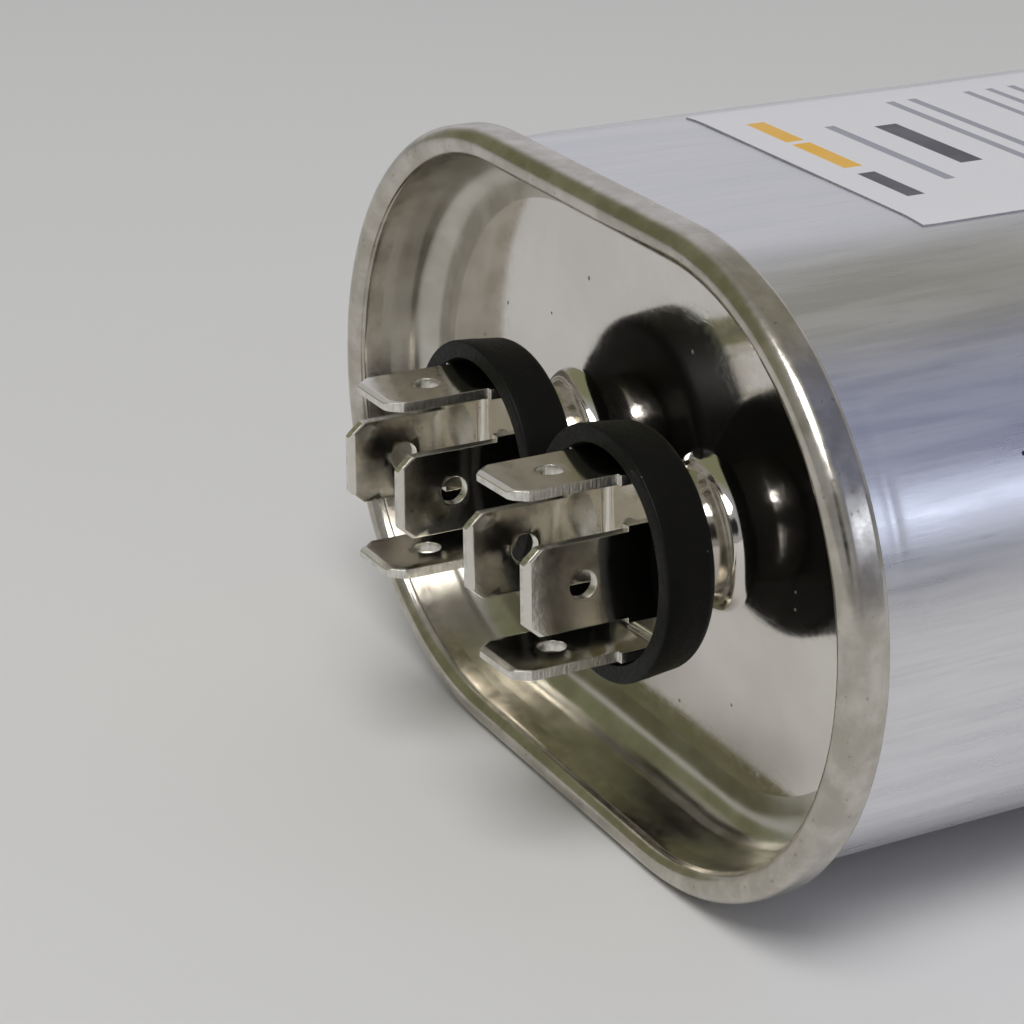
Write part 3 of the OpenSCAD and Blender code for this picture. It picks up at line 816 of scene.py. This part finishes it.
def terminal(side, turn, name):
    arms = [(SIDE_INNER, 0), (END_INNER, 90), (SIDE_INNER, 180), (END_INNER, 270)]
    merged = bmesh.new()
    for k, (inner, angle) in enumerate(arms):
        bm = blade_arm(inner, k + 10 * side, angle % 180 == 90)
        a = math.radians(angle + turn)
        for p in bm.verts:
            x, h, d = p.co
            p.co = (x * math.cos(a) - h * math.sin(a), x * math.sin(a) + h * math.cos(a), d)
        me = bpy.data.meshes.new("arm")
        bm.to_mesh(me)
        bm.free()
        merged.from_mesh(me)
        bpy.data.meshes.remove(me)
    for p in merged.verts:
        p.co = place(p.co.x + side * TERMINAL_X, p.co.y, p.co.z)
    bmesh.ops.recalc_face_normals(merged, faces=merged.faces)
    me = bpy.data.meshes.new(name)
    merged.to_mesh(me)
    merged.free()
    me.materials.append(BLADE)
    me.materials.append(BLADE_CUT)
    ob = bpy.data.objects.new(name, me)
    bpy.context.scene.collection.objects.link(ob)
    me.shade_smooth()
    me.set_sharp_from_angle(angle=math.radians(50))
    flat = ob.modifiers.new("flat faces", "WEIGHTED_NORMAL")
    flat.mode = "FACE_AREA"
    flat.weight = 100
    flat.keep_sharp = True
    return ob


for side, word in ((-1, "left"), (1, "right")):
    ob = terminal(side, TURNS[word], f"blades_{word}")
    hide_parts(f"terminal_{word}")
    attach(ob, "root")


# ---------------------------------------------------------------- label

LABEL_WIDTH = 31.0
LABEL_LENGTH = 66.0
LABEL_START = 19.0               # depth of the label's front edge
LABEL_SHEET = 0.1
LABEL_CORNER = 0.6


def label_sheet():
    half, length, corner = LABEL_WIDTH / 2, LABEL_LENGTH, LABEL_CORNER
    cols = np.concatenate([[-half], np.linspace(-half + 0.03, half - 0.03, 64), [half]])
    rows = np.concatenate([[0], np.linspace(0.03, length - 0.03, 60), [length]])
    verts, faces, uvs, mats = [], [], [], []

    def over(x, lift):
        r = CAN_R + lift
        if abs(x) <= STRAIGHT:
            return x, r
        a = math.asin((abs(x) - STRAIGHT) / r)
        return math.copysign(STRAIGHT + r * math.sin(a), x), r * math.cos(a)

    nc = len(cols)
    for i, y in enumerate(rows):
        for j, x in enumerate(cols):
            # round the sheet's corners
            dx = max(0.0, abs(x) - (half - corner))
            dy = max(0.0, corner - y, y - (length - corner))
            if dx > 0 and dy > 0:
                q = math.hypot(dx, dy)
                if q > corner:
                    x = math.copysign(half - corner + dx * corner / q, x)
                    y = y + (dy - dy * corner / q) * (1 if y < length / 2 else -1)
            edge = i in (0, len(rows) - 1) or j in (0, nc - 1)
            wob = 0.012 * (wave(x, y, 0, 6, 31) - 0.6)
            px, ph = over(x, 0.0 if edge else LABEL_SHEET + wob)
            verts.append((px, ph - (0.03 if edge else 0.0), LABEL_START + y))
    for i in range(len(rows) - 1):
        for j in range(nc - 1):
            faces.append((i * nc + j, i * nc + j + 1, (i + 1) * nc + j + 1, (i + 1) * nc + j))
            uvs += [(cols[j], rows[i]), (cols[j + 1], rows[i]), (cols[j + 1], rows[i + 1]),
                    (cols[j], rows[i + 1])]
            # the outermost row and column of faces take the painted shade along the label's edge
            mats.append(1 if i in (0, len(rows) - 2) or j in (0, nc - 2) else 0)
    ob = make_object("label_sheet", verts, faces, uvs, [LABEL, LABEL_EDGE_SHADE], mats, True, 40)
    return ob


label = label_sheet()
bm = bmesh.new()
bm.from_mesh(label.data)
bmesh.ops.recalc_face_normals(bm, faces=bm.faces)
if sum(f.normal.z for f in bm.faces) < 0:
    bmesh.ops.reverse_faces(bm, faces=bm.faces)
bm.to_mesh(label.data)
bm.free()
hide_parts("label")
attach(label, "root")


# ---------------------------------------------------------------- the pieces inside

INNER = {
    "seam_compound": plain("seal", (0.05, 0.05, 0.05), (0.09, 0.09, 0.085), 0.6, 0.8),
    "rivet_left": plain("rivet", (0.6, 0.59, 0.56), (0.72, 0.71, 0.68),
                     0.25, 0.35, 1.2, 0.01, 1.0),
    "inner_bushing_left": plain("bushing", (0.66, 0.58, 0.42), (0.74, 0.66, 0.5), 0.45, 0.6),
    "contact_lug_left": plain("lug", (0.72, 0.55, 0.25), (0.82, 0.66, 0.34),
                     0.25, 0.4, 1.0, 0.01, 1.0),
    "interrupter_plate": plain("board", (0.36, 0.2, 0.09), (0.5, 0.3, 0.15), 0.45, 0.65, 0.5),
    "lead_strap_left": plain("strap", (0.66, 0.66, 0.64), (0.76, 0.76, 0.74),
                     0.25, 0.35, 1.0, 0.01, 1.0),
    "lead_sleeve": plain("sleeve", (0.8, 0.76, 0.64), (0.88, 0.85, 0.74), 0.35, 0.5),
    "end_spray_upper": plain("sprayed_zinc", (0.4, 0.41, 0.43), (0.6, 0.61, 0.63),
                     0.5, 0.75, 2.0, 0.08, 1.0),
    "film_winding": plain("film", (0.6, 0.63, 0.68), (0.75, 0.78, 0.83), 0.2, 0.35, 0.3),
    "winding_core": plain("core", (0.8, 0.8, 0.78), (0.9, 0.9, 0.87), 0.4, 0.55),
    "winding_wrap": plain("wrap", (0.78, 0.7, 0.42), (0.86, 0.79, 0.52), 0.2, 0.35, 0.3),
    "base_pad": plain("pad", (0.6, 0.47, 0.3), (0.72, 0.6, 0.42), 0.7, 0.9, 0.7, 0.03),
}
SAME = {"rivet_right": "rivet_left", "inner_bushing_right": "inner_bushing_left",
        "contact_lug_right": "contact_lug_left", "lead_strap_right": "lead_strap_left",
        "end_spray_lower": "end_spray_upper"}
for node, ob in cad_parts.items():
    mat = INNER.get(SAME.get(node, node))
    if mat:
        ob.data.materials.clear()
        ob.data.materials.append(mat)


# ---------------------------------------------------------------- floor, light, camera

def floor_material():
    m = Nodes("floor_paper")
    c = m.coords()
    color = m.mix(m.noise(c, 0.01, 2), (0.74, 0.735, 0.742), (0.76, 0.755, 0.76))
    return m.set(color=color, roughness=0.75, specular=0.15,
                 normal=m.bump(m.noise(c, 1.5, 3), 0.004, 1.0))


me = bpy.data.meshes.new("floor")
me.from_pydata([(-4, -4, 0), (4, -4, 0), (4, 4, 0), (-4, 4, 0)], [], [(0, 1, 2, 3)])
me.materials.append(floor_material())
floor = bpy.data.objects.new("floor", me)
bpy.context.scene.collection.objects.link(floor)

scene = bpy.context.scene
scene.view_settings.view_transform = "Standard"
world = bpy.data.worlds.new("studio")
scene.world = world
world.use_nodes = True


def towards(az, el):
    """Unit vector; azimuth 0 is -Y and 90 is +X."""
    a, e = math.radians(az), math.radians(el)
    return (math.sin(a) * math.cos(e), -math.cos(a) * math.cos(e), math.sin(e))


# The studio round the object: azimuth, elevation, inner and outer half angle, colour
LOBES = [
    (-118, 5, 25, 75, (0.60, 0.60, 0.64)),
    (-52, 28, 22, 52, (0.20, 0.205, 0.125)),
    (-160, 55, 10, 40, (0.30, 0.29, 0.25)),
    (140, 40, 12, 36, (0.22, 0.235, 0.33)),
    (120, 6, 8, 30, (0.24, 0.24, 0.27)),
    (128, 21, 3, 8, (2.2, 2.4, 2.9)),
    (61, 23, 9, 17, (0.02, 0.02, 0.02)),
]
tree = world.node_tree
coord = tree.nodes.new("ShaderNodeTexCoord")
unit = tree.nodes.new("ShaderNodeVectorMath")
unit.operation = "NORMALIZE"
tree.links.new(coord.outputs["Generated"], unit.inputs[0])
shade = None
for az, el, inner, outer, color in LOBES:
    dot = tree.nodes.new("ShaderNodeVectorMath")
    dot.operation = "DOT_PRODUCT"
    tree.links.new(unit.outputs[0], dot.inputs[0])
    dot.inputs[1].default_value = towards(az, el)
    ease = tree.nodes.new("ShaderNodeMapRange")
    ease.interpolation_type = "SMOOTHSTEP"
    tree.links.new(dot.outputs["Value"], ease.inputs["Value"])
    ease.inputs["From Min"].default_value = math.cos(math.radians(outer))
    ease.inputs["From Max"].default_value = math.cos(math.radians(inner))
    mix = tree.nodes.new("ShaderNodeMix")
    mix.data_type = "RGBA"
    tree.links.new(ease.outputs["Result"], mix.inputs["Factor"])
    if shade is None:
        mix.inputs[6].default_value = (0.34, 0.34, 0.34, 1)
    else:
        tree.links.new(shade, mix.inputs[6])
    mix.inputs[7].default_value = (*color, 1)
    shade = mix.outputs[2]
tree.links.new(shade, tree.nodes["Background"].inputs["Color"])
tree.nodes["Background"].inputs["Strength"].default_value = 1.0


def lamp(name, at, look, size, energy, color):
    data = bpy.data.lights.new(name, "AREA")
    data.shape = "RECTANGLE"
    data.size, data.size_y = size
    data.energy = energy
    data.color = color
    ob = bpy.data.objects.new(name, data)
    bpy.context.scene.collection.objects.link(ob)
    ob.location = at
    ob.rotation_euler = (Vector(look) - Vector(at)).to_track_quat("-Z", "Y").to_euler()
    return ob


aim = Vector((0, -0.02, 0.02))
lamp("key", aim + 1.2 * Vector(towards(50, 58)), aim, (0.55, 0.55), 8.0,
     (1.0, 0.995, 0.98))

camera_data = bpy.data.cameras.new("camera")
camera_data.sensor_width = 36
camera_data.lens = 100.69
camera_data.clip_start = 0.01
camera = bpy.data.objects.new("camera", camera_data)
bpy.context.scene.collection.objects.link(camera)
azimuth, elevation, roll = math.radians(61.15), math.radians(22.99), math.radians(0.95)
back = Vector((math.sin(azimuth) * math.cos(elevation), -math.cos(azimuth) * math.cos(elevation),
               math.sin(elevation)))
right = Vector((math.cos(azimuth), math.sin(azimuth), 0))
up = back.cross(right)
right_r = right * math.cos(roll) + up * math.sin(roll)
up_r = up * math.cos(roll) - right * math.sin(roll)
target = Vector((-0.00724, CREST_Y * MM, 0.02066))
eye = target + back * 0.216
camera.matrix_world = Matrix(((right_r.x, up_r.x, back.x, eye.x), (right_r.y, up_r.y, back.y, eye.y),
                              (right_r.z, up_r.z, back.z, eye.z), (0, 0, 0, 1)))
scene.camera = camera

bpy.context.view_layer.update()
